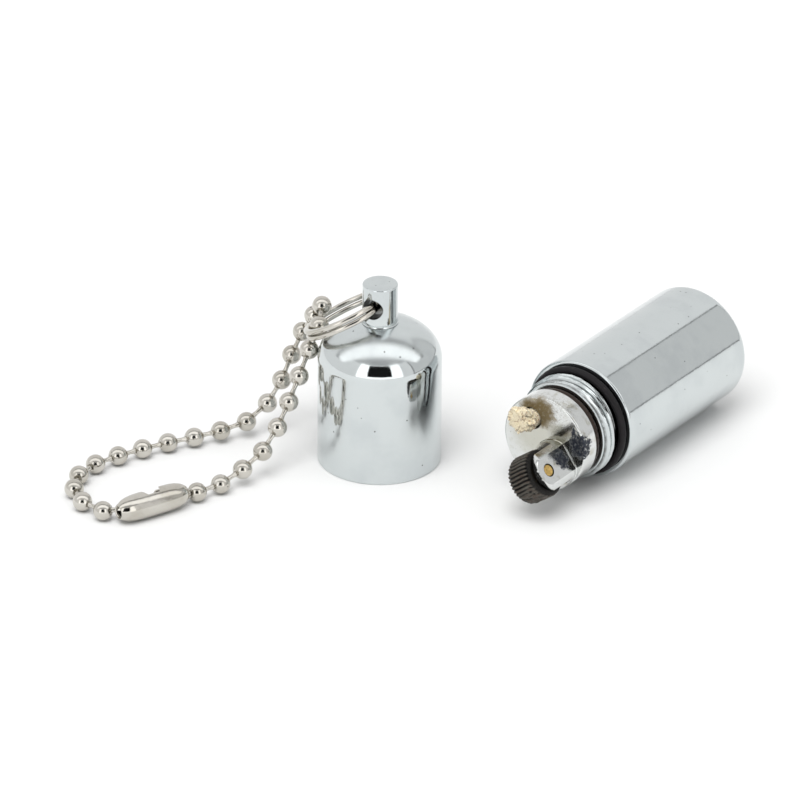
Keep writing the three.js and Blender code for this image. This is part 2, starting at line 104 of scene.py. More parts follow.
SPRING_R, SPRING_WIRE_R, SPRING_TURNS, SPRING_LOW_Z, SPRING_TOP_Z = 0.85, 0.17, 10, -20.63, -3.97
SCREW_R, SCREW_HEAD_R, SCREW_HEAD, SCREW_SHANK = 1.1, 2.0, 1.2, 3.2
WICK_Y, WICK_TOP_Z, WICK_FOOT_Z, WICK_LEAN, WICK_HOLE_R, CORD_R = 3.3, 2.3, -20.0, 0.8, 1.45, 1.16
CAP_EDGE_Z, CAP_DOME, CAP_INNER_R, CAP_CROWN, CAP_BORE_R = 13.4, 5.1, 6.65, 1.1, 1.35
SEAT_R, STUD_R, STUD_TOP_Z, TENON_R, TENON_LOW_Z = 2.3, 2.14, 23.4, 1.2, 16.6
STUD_HOLE_R, STUD_HOLE_Z = 1.3, 20.76
INSERT_ROLL = math.radians(37)
RING_TURN, RING_DROOP = math.radians(7.5), math.radians(30.5)
POST = Matrix.Translation((0, POST_Y, 0))


# ---- Places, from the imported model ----
def middle(node):
    low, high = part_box(node)
    return (low + high) / 2


tank_centre, cap_centre = middle("fuel_tank"), middle("cap_shell")
flange_centre = Vector((tank_centre.x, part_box("fuel_tank")[1].y - TANK_LENGTH * MM, tank_centre.z))
SCALE = Matrix.Scale(MM, 4)
QUARTER = Matrix.Rotation(math.pi / 2, 4, "X")
TANK = Matrix.Translation(flange_centre) @ QUARTER @ SCALE
INSERT = Matrix.Translation(flange_centre) @ Matrix.Rotation(-INSERT_ROLL, 4, "Y") @ QUARTER @ SCALE
CAP = Matrix.Translation((cap_centre.x, cap_centre.y, 0)) @ SCALE
RING = (
    CAP
    @ Matrix.Translation((0, 0, STUD_HOLE_Z))
    @ Matrix.Rotation(RING_TURN, 4, "Z")
    @ Matrix.Rotation(-RING_DROOP, 4, "Y")
)


# ---- Node helpers ----
class Nodes:
    """Adds shader nodes to one tree. Values and sockets can both be given as inputs."""

    def __init__(self, tree):
        self.tree = tree

    def add(self, kind, inputs=None, **settings):
        node = self.tree.nodes.new(kind)
        for key, value in settings.items():
            setattr(node, key, value)
        for key, value in (inputs or {}).items():
            if isinstance(value, bpy.types.NodeSocket):
                self.tree.links.new(value, node.inputs[key])
            else:
                node.inputs[key].default_value = value
        return node

    def math(self, operation, a, b=0.0, c=0.0):
        return self.add("ShaderNodeMath", {0: a, 1: b, 2: c}, operation=operation).outputs[0]

    def ramp(self, value, low, high, start=0.0, end=1.0):
        """start below low, end above high, and a smooth step between them"""
        inputs = {"Value": value, "From Min": low, "From Max": high, "To Min": start, "To Max": end}
        return self.add("ShaderNodeMapRange", inputs, interpolation_type="SMOOTHSTEP").outputs[0]

    def mix(self, share, a, b):
        return self.add("ShaderNodeMix", {0: share, 6: a, 7: b}, data_type="RGBA").outputs[2]

    def object_mm(self, place=None, stretch=(1, 1, 1)):
        """The point on the surface in millimetres, in the frame of a placing matrix"""
        point = self.add("ShaderNodeTexCoord").outputs["Object"]
        if place is not None:
            turn = place.to_3x3().normalized()
            inputs = {"Vector": point, "Location": place.translation, "Rotation": turn.to_euler("XYZ")}
            point = self.add("ShaderNodeMapping", inputs, vector_type="TEXTURE").outputs[0]
        scale = tuple(s / MM for s in stretch)
        return self.add("ShaderNodeMapping", {"Vector": point, "Scale": scale}).outputs[0]

    def noise(self, at, scale, detail=3.0, roughness=0.55):
        inputs = {"Vector": at, "Scale": scale, "Detail": detail, "Roughness": roughness}
        return self.add("ShaderNodeTexNoise", inputs).outputs[0]

    def vector(self, operation, a, b=(0, 0, 0), c=(0, 0, 0)):
        inputs = {0: a, 1: b, 2: c} if operation == "MULTIPLY_ADD" else {0: a, 1: b}
        return self.add("ShaderNodeVectorMath", inputs, operation=operation).outputs

    def spot(self, at, centre, inner, outer):
        """1 within inner of a centre, fading to 0 at outer"""
        return self.ramp(self.vector("DISTANCE", at, centre)["Value"], inner, outer, 1.0, 0.0)

    def bump(self, height, strength, depth, normal=None):
        inputs = {"Height": height, "Strength": strength, "Distance": depth * MM}
        if normal is not None:
            inputs["Normal"] = normal
        return self.add("ShaderNodeBump", inputs).outputs[0]


def new_material(name):
    material = bpy.data.materials.new(name)
    material.use_nodes = True
    tree = material.node_tree
    tree.nodes.clear()
    nodes = Nodes(tree)
    shader = nodes.add("ShaderNodeBsdfPrincipled")
    output = nodes.add("ShaderNodeOutputMaterial")
    tree.links.new(shader.outputs[0], output.inputs[0])

    def feed(**inputs):
        for key, value in inputs.items():
            socket = shader.inputs[key.replace("_", " ")]
            if isinstance(value, bpy.types.NodeSocket):
                tree.links.new(value, socket)
            else:
                socket.default_value = value

    return material, nodes, feed


# ---- Materials ----
def plated(name, colour, dull, rough, brush, brush_depth, pits, extra=None):
    """Bright plating: faint lathe lines along brush, small pits, and cloudy wear; extra adds grime and roughness"""
    material, nodes, feed = new_material(name)
    at = nodes.object_mm()
    clouds = nodes.noise(at, 0.22, 4)
    lines = nodes.noise(nodes.object_mm(stretch=brush), 1.0, 3)
    peel = nodes.noise(at, 1.1, 4, 0.6)
    cell = nodes.add("ShaderNodeTexVoronoi", {"Vector": at, "Scale": pits}, feature="F1").outputs["Distance"]
    pit = nodes.ramp(cell, 0.025, 0.065, 1.0, 0.0)
    clean = nodes.mix(nodes.ramp(clouds, 0.42, 0.68), (*colour, 1), (*dull, 1))
    grime, dulled = extra(nodes) if extra else (0.0, 0.0)
    roughness = nodes.ramp(nodes.noise(at, 0.6, 5), 0.3, 0.8, rough, rough * 2.2)
    feed(
        Base_Color=nodes.mix(grime, nodes.mix(pit, clean, (0.07, 0.07, 0.065, 1)), (0.055, 0.048, 0.04, 1)),
        Metallic=1.0,
        Roughness=nodes.math("ADD", roughness, dulled),
        Normal=nodes.bump(pit, -0.5, 0.04, nodes.bump(lines, 1.0, brush_depth, nodes.bump(peel, 1.0, 0.005))),
    )
    return material


def neck_grime(nodes):
    """Dirt at the roots of the tank's thread, and a duller neck"""
    at = nodes.object_mm(TANK)
    reach = nodes.vector("LENGTH", nodes.vector("MULTIPLY", at, (1, 1, 0))[0])["Value"]
    height = nodes.add("ShaderNodeSeparateXYZ", {0: at}).outputs[2]
    neck = nodes.ramp(height, SHOULDER_Z + 0.1, SHOULDER_Z + 0.3)
    below = nodes.ramp(height, NECK_TOP_Z - 0.35, NECK_TOP_Z - 0.15, 1.0, 0.0)
    root = nodes.ramp(reach, NECK_R + 0.02, NECK_R + 0.3, 1.0, 0.0)
    patches = nodes.ramp(nodes.noise(at, 1.6, 5, 0.7), 0.35, 0.6, 0.35, 1.0)
    grime = nodes.math("MULTIPLY", nodes.math("MULTIPLY", nodes.math("MULTIPLY", neck, below), root), patches)
    return nodes.math("MULTIPLY", grime, 0.8), nodes.math("MULTIPLY", neck, 0.05)


def cap_wear(nodes):
    """The crown of the cap is less finely polished than its side, and the hole through the stud holds dirt"""
    at = nodes.object_mm(CAP)
    height = nodes.add("ShaderNodeSeparateXYZ", {0: at}).outputs[2]
    haze = nodes.ramp(height, CAP_EDGE_Z + 1.9, CAP_EDGE_Z + 2.9, 0.0, 0.15)
    over = nodes.ramp(height, STUD_HOLE_Z - 2.4, STUD_HOLE_Z - 2.1, 1.0, 0.0)
    beside = nodes.vector("DOT_PRODUCT", at, (math.cos(RING_TURN), math.sin(RING_TURN), 0))["Value"]
    rise = nodes.math("SUBTRACT", height, STUD_HOLE_Z)
    reach = nodes.math("SQRT", nodes.math("MULTIPLY_ADD", rise, rise, nodes.math("MULTIPLY", beside, beside)))
    return nodes.ramp(reach, STUD_HOLE_R - 0.03, STUD_HOLE_R + 0.08, 0.92, 0.0), nodes.math("MULTIPLY", haze, over)


def insert_plating():
    """Satin chrome of the insert with scorch by the wick, spatter, soot on the column's flat, and dark patches between
    the wheel and the rim that are partly soot and partly a painted reflection of the sooty flat
    """
    material, nodes, feed = new_material("sooted_chrome_painted_reflection")
    at = nodes.object_mm(INSERT)
    rough = nodes.noise(at, 2.2, 6, 0.65)
    fine = nodes.noise(at, 7.0, 4, 0.7)
    blur = nodes.add("ShaderNodeTexNoise", {"Vector": at, "Scale": 1.3, "Detail": 5.0}).outputs["Color"]
    shift = nodes.vector("ADD", blur, (-0.5, -0.5, -0.5))[0]
    shaken = nodes.vector("MULTIPLY_ADD", shift, (1.8, 1.8, 1.8), at)[0]

    def most(*values):
        best = values[0]
        for value in values[1:]:
            best = nodes.math("MAXIMUM", best, value)
        return best

    beside_wick = most(nodes.spot(shaken, (1.9, 3.4, 0), 1.2, 2.5), nodes.spot(shaken, (0.6, 4.4, 0), 0.6, 2.0))
    scorch = nodes.math("MULTIPLY", beside_wick, nodes.ramp(rough, 0.25, 0.5, 0.55, 1.0))
    column = nodes.math("MULTIPLY", nodes.spot(shaken, (0.9, -0.1, 2.6), 0.9, 2.3), 0.75)
    scorch = most(scorch, column)
    # Soot on the column's flat, and dark patches on the flange beside it that are partly soot and partly a painted
    # reflection of the sooty flat
    soot_and_reflection = most(
        nodes.spot(shaken, (4.7, -2.4, 0), 1.1, 1.9),
        nodes.spot(shaken, (4.9, -0.6, 0), 0.2, 1.0),
        nodes.spot(shaken, (2.5, -2.6, 1.7), 0.85, 1.45),
    )
    grit = nodes.noise(at, 3.6, 5, 0.75)
    ragged = nodes.math("MULTIPLY_ADD", nodes.math("SUBTRACT", rough, 0.5), 1.7, soot_and_reflection)
    ragged = nodes.math("MULTIPLY_ADD", nodes.math("SUBTRACT", grit, 0.5), 3.2, ragged)
    soot_and_reflection = nodes.ramp(ragged, 0.45, 0.85)
    spatter = nodes.math("MULTIPLY", nodes.ramp(fine, 0.55, 0.62), nodes.spot(at, (3.6, 2.2, 0), 1.0, 3.2))
    haze = nodes.math("MULTIPLY", nodes.spot(shaken, (-0.8, 1.8, 0), 1.5, 4.6), 0.7)
    tarnish = most(nodes.ramp(nodes.noise(at, 0.7, 4), 0.5, 0.8), haze)
    clean = nodes.mix(tarnish, (0.73, 0.745, 0.735, 1), (0.49, 0.475, 0.395, 1))
    stain = nodes.math("MULTIPLY", nodes.spot(shaken, (2.7, 0.1, 0), 0.7, 2.1), 0.75)
    clean = nodes.mix(stain, clean, (0.33, 0.32, 0.26, 1))
    colour = nodes.mix(scorch, clean, (0.165, 0.125, 0.060, 1))
    colour = nodes.mix(spatter, colour, (0.14, 0.12, 0.09, 1))
    blacks = nodes.mix(nodes.ramp(fine, 0.48, 0.66), (0.008, 0.010, 0.018, 1), (0.05, 0.062, 0.08, 1))
    # Near-black soot colour, which on the flange also paints the reflection of the sooty flat
    colour = nodes.mix(soot_and_reflection, colour, blacks)
    scorch_soot_and_reflection = most(scorch, soot_and_reflection)
    feed(
        Base_Color=colour,
        Metallic=nodes.ramp(scorch_soot_and_reflection, 0.0, 1.0, 1.0, 0.45),
        Roughness=nodes.math("ADD", nodes.ramp(rough, 0.3, 0.8, 0.08, 0.2), nodes.math("MULTIPLY", scorch_soot_and_reflection, 0.3)),
        Normal=nodes.bump(rough, 0.35, 0.04),
    )
    return material


def rubber(name, colour, rough):
    material, nodes, feed = new_material(name)
    at = nodes.object_mm()
    dust = nodes.ramp(nodes.noise(at, 4.0, 6, 0.7), 0.62, 0.74)
    feed(
        Base_Color=nodes.mix(dust, (*colour, 1), (0.10, 0.085, 0.07, 1)),
        Specular_IOR_Level=0.22,
        Roughness=nodes.ramp(nodes.noise(at, 1.5, 4), 0.3, 0.8, rough, rough + 0.2),
        Normal=nodes.bump(nodes.noise(at, 9.0, 4), 0.25, 0.04),
    )
    return material


def knurled_steel():
    """Dark tool steel: sooty grooves, brown scale, and tooth tips ground bright here and there by the flint"""
    material, nodes, feed = new_material("knurled_steel")
    at = nodes.object_mm(INSERT)
    scale = nodes.noise(at, 1.6, 6, 0.65)
    grain = nodes.noise(at, 9.0, 5, 0.7)
    across = nodes.vector("MULTIPLY", at, (0, 1, 1))[0]
    reach = nodes.vector("DISTANCE", across, (0, POST_Y, WHEEL_Z))["Value"]
    tip = nodes.ramp(reach, WHEEL_R - 0.2, WHEEL_R - 0.05)
    metal = nodes.mix(nodes.ramp(scale, 0.4, 0.66), (0.080, 0.075, 0.062, 1), (0.066, 0.048, 0.036, 1))
    metal = nodes.mix(nodes.ramp(grain, 0.58, 0.74), metal, (0.24, 0.225, 0.20, 1))
    feed(
        Base_Color=nodes.mix(tip, (0.010, 0.009, 0.008, 1), metal),
        Metallic=0.6,
        Roughness=nodes.ramp(grain, 0.3, 0.7, 0.32, 0.6),
        Normal=nodes.bump(grain, 0.7, 0.08),
    )
    return material


def bare_brass():
    material, nodes, feed = new_material("bare_brass")
    at = nodes.object_mm()
    patches = nodes.noise(at, 2.6, 5, 0.6)
    feed(
        Base_Color=nodes.mix(nodes.ramp(patches, 0.4, 0.7), (0.72, 0.50, 0.17, 1), (0.42, 0.26, 0.09, 1)),
        Metallic=1.0,
        Roughness=nodes.ramp(patches, 0.3, 0.8, 0.28, 0.5),
        Normal=nodes.bump(nodes.noise(at, 8.0, 4), 0.3, 0.03),
    )
    return material


def cotton(name, scorched):
    """Matted cotton, paler on its raised fibres, and browned in cracks and clumps by the share scorched"""
    material, nodes, feed = new_material(name)
    at = nodes.object_mm(INSERT)
    fibres = nodes.noise(nodes.object_mm(INSERT, (1, 1, 0.35)), 9.0, 6, 0.75)
    clumps = nodes.noise(at, 1.7, 5, 0.65)
    cream = nodes.mix(nodes.ramp(fibres, 0.35, 0.7), (0.60, 0.50, 0.32, 1), (0.84, 0.78, 0.60, 1))
    fold = nodes.math("ABSOLUTE", nodes.math("SUBTRACT", nodes.noise(at, 0.9, 4, 0.6), 0.5))
    crack = nodes.math("MULTIPLY", nodes.ramp(fold, 0.006, 0.022, 1.0, 0.0), nodes.ramp(clumps, 0.40, 0.52))
    browned = nodes.math("MULTIPLY", nodes.math("MAXIMUM", nodes.ramp(clumps, 0.60, 0.74), crack), scorched)
    feed(
        Base_Color=nodes.mix(browned, cream, (0.23, 0.12, 0.06, 1)),
        Roughness=0.95,
        Sheen_Weight=0.4,
        Sheen_Roughness=0.5,
        Subsurface_Weight=0.12,
        Subsurface_Radius=(0.0008, 0.0006, 0.0004),
        Normal=nodes.bump(fibres, 0.9, 0.12),
    )
    return material


def plain_metal(name, colour, rough, grain):
    material, nodes, feed = new_material(name)
    at = nodes.object_mm()
    speck = nodes.noise(at, grain, 5, 0.65)
    worn = tuple(c * 0.62 for c in colour)
    feed(
        Base_Color=nodes.mix(nodes.ramp(speck, 0.45, 0.7), (*colour, 1), (*worn, 1)),
        Metallic=0.9,
        Roughness=nodes.ramp(speck, 0.3, 0.8, rough, rough + 0.2),
        Normal=nodes.bump(speck, 0.3, 0.03),
    )
    return material


CHROME = (0.640, 0.679, 0.683)
CHROME_DULL = (0.594, 0.631, 0.640)
LOOKS = {
    "tank_chrome": plated("tank_chrome", CHROME, CHROME_DULL, 0.05, (0.02, 2.6, 0.02), 0.0022, 0.62, neck_grime),
    "cap_chrome": plated("cap_chrome", CHROME, CHROME_DULL, 0.045, (0.03, 0.03, 2.2), 0.0022, 0.5, cap_wear),
    "nickel": plated("nickel", (0.600, 0.578, 0.530), (0.50, 0.475, 0.42), 0.10, (1.4, 1.4, 1.4), 0.012, 0.5),
    "insert": insert_plating(),
    "seal": rubber("seal_rubber", (0.008, 0.007, 0.008), 0.42),
    "gasket": rubber("gasket", (0.022, 0.014, 0.010), 0.22),
    "wheel": knurled_steel(),
    "brass": bare_brass(),
    "wick": cotton("wick_cotton", 1.0),
    "wadding": cotton("wadding_cotton", 0.15),
    "spring": plain_metal("spring_wire", (0.52, 0.52, 0.50), 0.25, 3.0),
    "flint": plain_metal("flint_alloy", (0.16, 0.155, 0.15), 0.5, 4.0),
}


# ---- Mesh helpers ----
def smoothstep(x, low, high):
    t = min(1.0, max(0.0, (x - low) / (high - low)))
    return t * t * (3 - 2 * t)


def surface(rows, closed=False, wrap=True):
    """Quads between rows of points. A row of one point is a pole. closed joins the last row to the first, and wrap
    joins each row's ends."""
    made = bmesh.new()
    lines = [[made.verts.new(point) for point in row] for row in rows]
    pairs = list(zip(lines, lines[1:]))
    if closed:
        pairs.append((lines[-1], lines[0]))
    for a, b in pairs:
        count = max(len(a), len(b))
        for k in range(count if wrap else count - 1):
            corners = [a[k % len(a)], a[(k + 1) % len(a)], b[(k + 1) % len(b)], b[k % len(b)]]
            made.faces.new(list(dict.fromkeys(corners)))
    bmesh.ops.recalc_face_normals(made, faces=made.faces)
    return made


def turned(profile, sides=96, closed=False, swell=None):
    """Solid of revolution about z; swell(angle, r, z) adds to the radius"""
    rows = []
    for r, z in profile:
        if r < 1e-6:
            rows.append([Vector((0, 0, z))])
            continue
        row = []
        for k in range(sides):
            angle = 2 * math.pi * k / sides
            reach = r + (swell(angle, r, z) if swell else 0)
            row.append(Vector((reach * math.cos(angle), reach * math.sin(angle), z)))
        rows.append(row)
    return surface(rows, closed)


def filleted(corners, steps=4, guard=0.05):
    """Line through (r, z, fillet) corners, rounded, with a guard point beside each round to keep flats flat"""
    line = []
    count = len(corners)
    for i, (r, z, fillet) in enumerate(corners):
        here = Vector((r, z))
        if fillet == 0 or i in (0, count - 1):
            line.append((r, z))
            continue
        before = Vector(corners[i - 1][:2]) - here
        after = Vector(corners[i + 1][:2]) - here
        reach_before, reach_after = before.length, after.length
        before.normalize()
        after.normalize()
        cut = min(fillet, reach_before * 0.45, reach_after * 0.45)
        if reach_before > 2.5 * cut + guard:
            line.append(tuple(here + before * (cut + guard)))
        for step in range(steps + 1):
            t = step / steps
            a, b = here + before * cut * (1 - t), here + after * cut * t
            line.append(tuple(a * (1 - t) + b * t))
        if reach_after > 2.5 * cut + guard:
            line.append(tuple(here + after * (cut + guard)))
    return line


def mesh_of(made, place=None):
    mesh = bpy.data.meshes.new("piece")
    if place is not None:
        made.transform(place)
    made.to_mesh(mesh)
    made.free()
    return mesh


def cut_from(made, tools, bevel=0.0):
    """The solid with tools joined or cut away, and its edges then rounded"""
    base = bpy.data.objects.new("base", mesh_of(made))
    SCENE.collection.objects.link(base)
    helpers = [base]
    for operation, tool in tools:
        helper = bpy.data.objects.new("tool", mesh_of(tool))
        SCENE.collection.objects.link(helper)
        helpers.append(helper)
        modifier = base.modifiers.new("cut", "BOOLEAN")
        modifier.object, modifier.operation, modifier.solver = helper, operation, "EXACT"
    if bevel:
        modifier = base.modifiers.new("edges", "BEVEL")
        modifier.width, modifier.segments = bevel, 3
        modifier.limit_method, modifier.angle_limit = "ANGLE", math.radians(38)
        modifier.use_clamp_overlap = True
    graph = bpy.context.evaluated_depsgraph_get()
    mesh = bpy.data.meshes.new_from_object(base.evaluated_get(graph))
    for helper in helpers:
        data = helper.data
        bpy.data.objects.remove(helper)
        bpy.data.meshes.remove(data)
    result = bmesh.new()
    result.from_mesh(mesh)
    bpy.data.meshes.remove(mesh)
    return result


def box_tool(low, high):
    made = bmesh.new()
    bmesh.ops.create_cube(made, size=1)
    size = [b - a for a, b in zip(low, high)]
    centre = [(a + b) / 2 for a, b in zip(low, high)]
    made.transform(Matrix.Translation(centre) @ Matrix.Diagonal((*size, 1)))
    return made


def rod_tool(radius, low, high, sides=64):
    return turned([(0, low), (radius, low), (radius, high), (0, high)], sides)


def piece(name, made, place, body, look, nodes=(), crease=40):
    mesh = mesh_of(made, place)
    mesh.name = name
    mesh.materials.append(LOOKS[look])
    mesh.shade_smooth()
    mesh.set_sharp_from_angle(angle=math.radians(crease))
    shown = bpy.data.objects.new(name, mesh)
    SCENE.collection.objects.link(shown)
    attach(shown, body)
    if nodes:
        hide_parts(*nodes)
    return shown


def wobble(point, scale, amount):
    return amount * noise.noise(Vector(point) * scale)


# ---- Tank ----
def thread(angle, z, start):
    """Height of a rolled thread's ridge at an angle and a height, 0 to 1"""
    best = 0.0
    for turn in range(-1, 4):
        turns = angle / (2 * math.pi) + turn
        if 0 <= turns <= THREAD_TURNS:
            fade = min(1.0, min(turns, THREAD_TURNS - turns) * 4 + 0.02)
            gap = abs(z - start - turns * THREAD_PITCH)
            seam = 0.3 * (1 - smoothstep(gap, 0.02, 0.13))
            best = max(best, fade * (1 - smoothstep(gap, 0.12, 0.37) - seam))
    return best


def neck_swell(angle, r, z):
    if not (GROOVE_TOP_Z + 0.02 < z < NECK_TOP_Z - 0.2 and abs(r - NECK_R) < 0.02):
        return 0.0
    ridge = thread(angle, z, GROOVE_TOP_Z + 0.37)
    return ridge * (THREAD_HEIGHT - 0.02 + wobble((math.cos(angle) * NECK_R, math.sin(angle) * NECK_R, z), 1.3, 0.05))


def tank_shell():
    end, floor, inner = -TANK_LENGTH, -TANK_LENGTH + 1.0, BODY_R - WALL
    outside = filleted([
        (0, end, 0), (BODY_R, end, TANK_END_ROUND), (BODY_R, SHOULDER_Z, 0.3), (GROOVE_R, SHOULDER_Z, 0.05),
        (GROOVE_R, GROOVE_TOP_Z, 0.02), (NECK_R, GROOVE_TOP_Z, 0),
    ], 7)
    first = GROOVE_TOP_Z + 0.04
    steps = 84
    neck = [(NECK_R, first + (NECK_TOP_Z - 0.25 - first) * i / steps) for i in range(steps + 1)]
    inside = filleted([
        (NECK_R, NECK_TOP_Z - 0.24, 0), (NECK_R, NECK_TOP_Z, 0.2), (NECK_BORE_R, NECK_TOP_Z, 0.12),
        (NECK_BORE_R, SHOULDER_Z - 0.7, 0.1), (inner, SHOULDER_Z - 2, 0.3), (inner, floor, 0.9), (0, floor, 0),
    ], 4)
    profile = outside + neck + inside[1:]
    piece("tank_shell", turned(profile, 160, swell=neck_swell), TANK, "tank", "tank_chrome",
          ["fuel_tank"])


def ring_profile(radius, z, width, height, steps=20):
    """Oval section of a ring, in order round it"""
    return [
        (radius + width * math.cos(2 * math.pi * i / steps), z + height * math.sin(2 * math.pi * i / steps))
        for i in range(steps)
    ]


def seals():
    def lumpy(angle, r, z):
        return wobble((math.cos(angle) * 7, math.sin(angle) * 7, z), 0.6, 0.03)

    section = ring_profile(CAP_SEAL_R, (SHOULDER_Z + GROOVE_TOP_Z) / 2, 0.48, 0.47)
    piece("cap_seal", turned(section, 128, True, lumpy), TANK, "tank", "seal", ["cap_seal_ring"])
    section = ring_profile(INSERT_SEAL_R, (NECK_TOP_Z - FLANGE_THICKNESS) / 2, 0.32, 0.45)
    piece("insert_seal", turned(section, 128, True), TANK, "insert", "gasket", ["insert_seal_ring"])


# ---- Insert ----
def column():
    """Post turned with a rounded top and a small bead at its foot, then milled to two flats"""
    crown, foot, ear_foot, sides = 0.45, -1.0, 4.0, 128
    # Each level is a height and what the radius grows by there
    levels = [(foot, 0.07), (0.0, 0.07), (0.06, 0.06), (0.1, 0.02), (0.13, 0.0)]
    levels += [(z, 0.0) for z in (2.5, ear_foot, 4.4, 4.75)]
    for i in range(9):
        turn = i / 8 * math.pi / 2
        levels.append((COLUMN_TOP_Z - crown + crown * math.sin(turn), -crown * (1 - math.cos(turn))))
    rows = [[Vector((0, 0, foot))]]
    for z, grow in levels:
        row = []
        for k in range(sides):
            angle = 2 * math.pi * k / sides
            x, y = (COLUMN_R + grow) * math.cos(angle), (COLUMN_R + grow) * math.sin(angle)
            flat = COLUMN_FLAT + max(0.0, grow)
            x = max(-flat, min(flat, x)) + 0.01 * math.cos(angle)
            rise = EAR_RISE * smoothstep(z, ear_foot, COLUMN_TOP_Z) * (1 - (y / EAR_HALF) ** 2)
            row.append(Vector((x, y, z + rise)))
        rows.append(row)
    rows.append([Vector((0, 0, COLUMN_TOP_Z + EAR_RISE))])
    made = surface(rows)
    made.transform(POST)
    return made


def insert_body():
    flange = turned(filleted([
        (0, 0, 0), (FLANGE_R, 0, 0.22), (FLANGE_R, -FLANGE_THICKNESS, 0.15), (PLUG_R, -FLANGE_THICKNESS, 0.05),
        (PLUG_R, PLUG_END_Z, 0.3), (0, PLUG_END_Z, 0),
    ]), 128)
    tube = rod_tool(TUBE_R, TUBE_END_Z, PLUG_END_Z + 1)
    tube.transform(POST)
    slot = box_tool((-SLOT_HALF, POST_Y - 6, SLOT_FLOOR_Z), (SLOT_HALF, POST_Y + 6, COLUMN_TOP_Z + 1))
    bore = rod_tool(FLINT_BORE_R, TUBE_END_Z - 1, COLUMN_TOP_Z)
    bore.transform(POST)
    hole = rod_tool(RIVET_HOLE_R, -5, 5)
    hole.transform(Matrix.Translation((0, POST_Y, WHEEL_Z)) @ Matrix.Rotation(math.pi / 2, 4, "Y"))
    wick_hole = rod_tool(WICK_HOLE_R, PLUG_END_Z - 1, 1)
    wick_hole.transform(Matrix.Translation((0, WICK_Y, 0)))
    tools = [("UNION", column()), ("UNION", tube)]
    tools += [("DIFFERENCE", tool) for tool in (slot, bore, hole, wick_hole)]
    piece("insert_body", cut_from(flange, tools, 0.06), INSERT, "insert", "insert",
          ["insert_head"], 32)


def wheel():
    """Striker wheel: slightly wavy teeth worn unevenly, and a shallow recess in each side"""
    teeth, depth, edge, recess, half = 36, 0.26, 0.14, 0.12, WHEEL_HALF
    sides, steps = teeth * 8, 12
    upward = INSERT.to_3x3().inverted() @ Vector((0, 0, 1))
    upward.normalize()

    def ring(x, reach):
        return [
            Vector((x, reach * math.cos(2 * math.pi * k / sides), reach * math.sin(2 * math.pi * k / sides)))
            for k in range(sides)
        ]

    side = [(half, 2.62), (half, 2.1), (half - recess, 1.9), (half - recess, RIVET_HOLE_R)]
    rows = [ring(-x, reach) for x, reach in reversed(side)]
    for step in range(steps + 1):
        x = -half + 2 * half * (step / steps)
        row = []
        for k in range(sides):
            angle = 2 * math.pi * k / sides
            place = (x, WHEEL_R * math.cos(angle), WHEEL_R * math.sin(angle))
            phase = teeth * angle + 0.9 * noise.noise(Vector(place) * 0.8) + 0.5 * math.sin(2.2 * x)
            tooth = (1 - math.cos(phase)) / 2
            # The teeth that lie uppermost are the deep ones. Lower down they are filled and pitted.
            height = Vector((0, math.cos(angle), math.sin(angle))).dot(upward)
            sharp = smoothstep(height + 0.5 * noise.noise(Vector(place) * 0.8), -0.45, 0.15)
            pits = (1 - sharp) * max(0.0, noise.noise(Vector(place) * 3.4)) * 0.35
            reach = WHEEL_R - depth * (0.15 + 0.85 * sharp) * tooth ** 1.5 - pits - abs(wobble(place, 3.0, 0.05))
            slope = max(0.0, edge - (half - abs(x)))
            row.append(Vector((x, (reach - slope) * math.cos(angle), (reach - slope) * math.sin(angle))))
        rows.append(row)
    rows += [ring(x, reach) for x, reach in side]
    made = surface(rows, True)
    place = INSERT @ Matrix.Translation((0, POST_Y, WHEEL_Z))
    piece("striker_wheel", made, place, "wheel", "wheel", ["flint_wheel"], 60)


def rivet():
    crown, dome_r = 0.07, 0.4
    side = [(0, RIVET_HALF - crown, 0), (dome_r, RIVET_HALF - 0.02, 0.1), (RIVET_R, RIVET_HALF, 0.12)]
    made = turned(filleted([(r, -z, fillet) for r, z, fillet in side] + side[::-1]), 48)
    place = INSERT @ Matrix.Translation((0, POST_Y, WHEEL_Z)) @ Matrix.Rotation(math.pi / 2, 4, "Y")
    piece("rivet_pin", made, place, "insert", "brass", ["wheel_rivet"])


def wick_tuft():
    """Cotton wick: a matted, lumpy tuft over a round cord"""
    lean, top, foot, shoulder = WICK_LEAN, WICK_TOP_Z, WICK_FOOT_Z, 0.35
    sides, cord_steps, tuft_steps = 96, 40, 44
    rows = [[Vector((0, 0, foot))]]
    for i in range(cord_steps + 1):
        z = foot - foot * i / cord_steps
        row = []
        for k in range(sides):
            angle = 2 * math.pi * k / sides
            reach = CORD_R + math.sin(9 * angle + z * 2.4) * 0.04
            row.append(Vector((reach * math.cos(angle), reach * math.sin(angle), z)))
        rows.append(row)
    for i in range(1, tuft_steps):
        t = i / tuft_steps
        z = top * math.sin(t * math.pi / 2) ** 0.9
        round_off = math.sqrt(max(0.0, 1 - (max(0.0, t - shoulder) / (1 - shoulder)) ** 2))
        base = (CORD_R + 0.40 * smoothstep(t, 0.0, shoulder)) * round_off
        row = []
        for k in range(sides):
            angle = 2 * math.pi * k / sides
            point = Vector((base * math.cos(angle), base * math.sin(angle), z))
            lumps = 0.50 * noise.noise(point * 1.2) + 0.26 * noise.noise(point * 3.1 + Vector((7, 3, 1)))
            lumps -= 0.30 * (1 - smoothstep(abs(noise.noise(point * 0.9 + Vector((2, 9, 4)))), 0.0, 0.07))
            strands = 0.09 * noise.noise(point * 8.0)
            share = smoothstep(t, 0.0, 0.25)
            reach = max(0.02, base + (lumps + strands) * share * min(1.0, base))
            row.append(Vector((
                reach * math.cos(angle),
                reach * math.sin(angle) + lean * smoothstep(z, 0.2, top),
                min(top - 0.02, z + 0.7 * lumps * share),
            )))
        rows.append(row)
    rows.append([Vector((0, lean, top - 0.12))])
    made = surface(rows)
    made.transform(Matrix.Translation((0, WICK_Y, 0)))
    piece("wick_tuft", made, INSERT, "insert", "wick", ["wick"], 180)


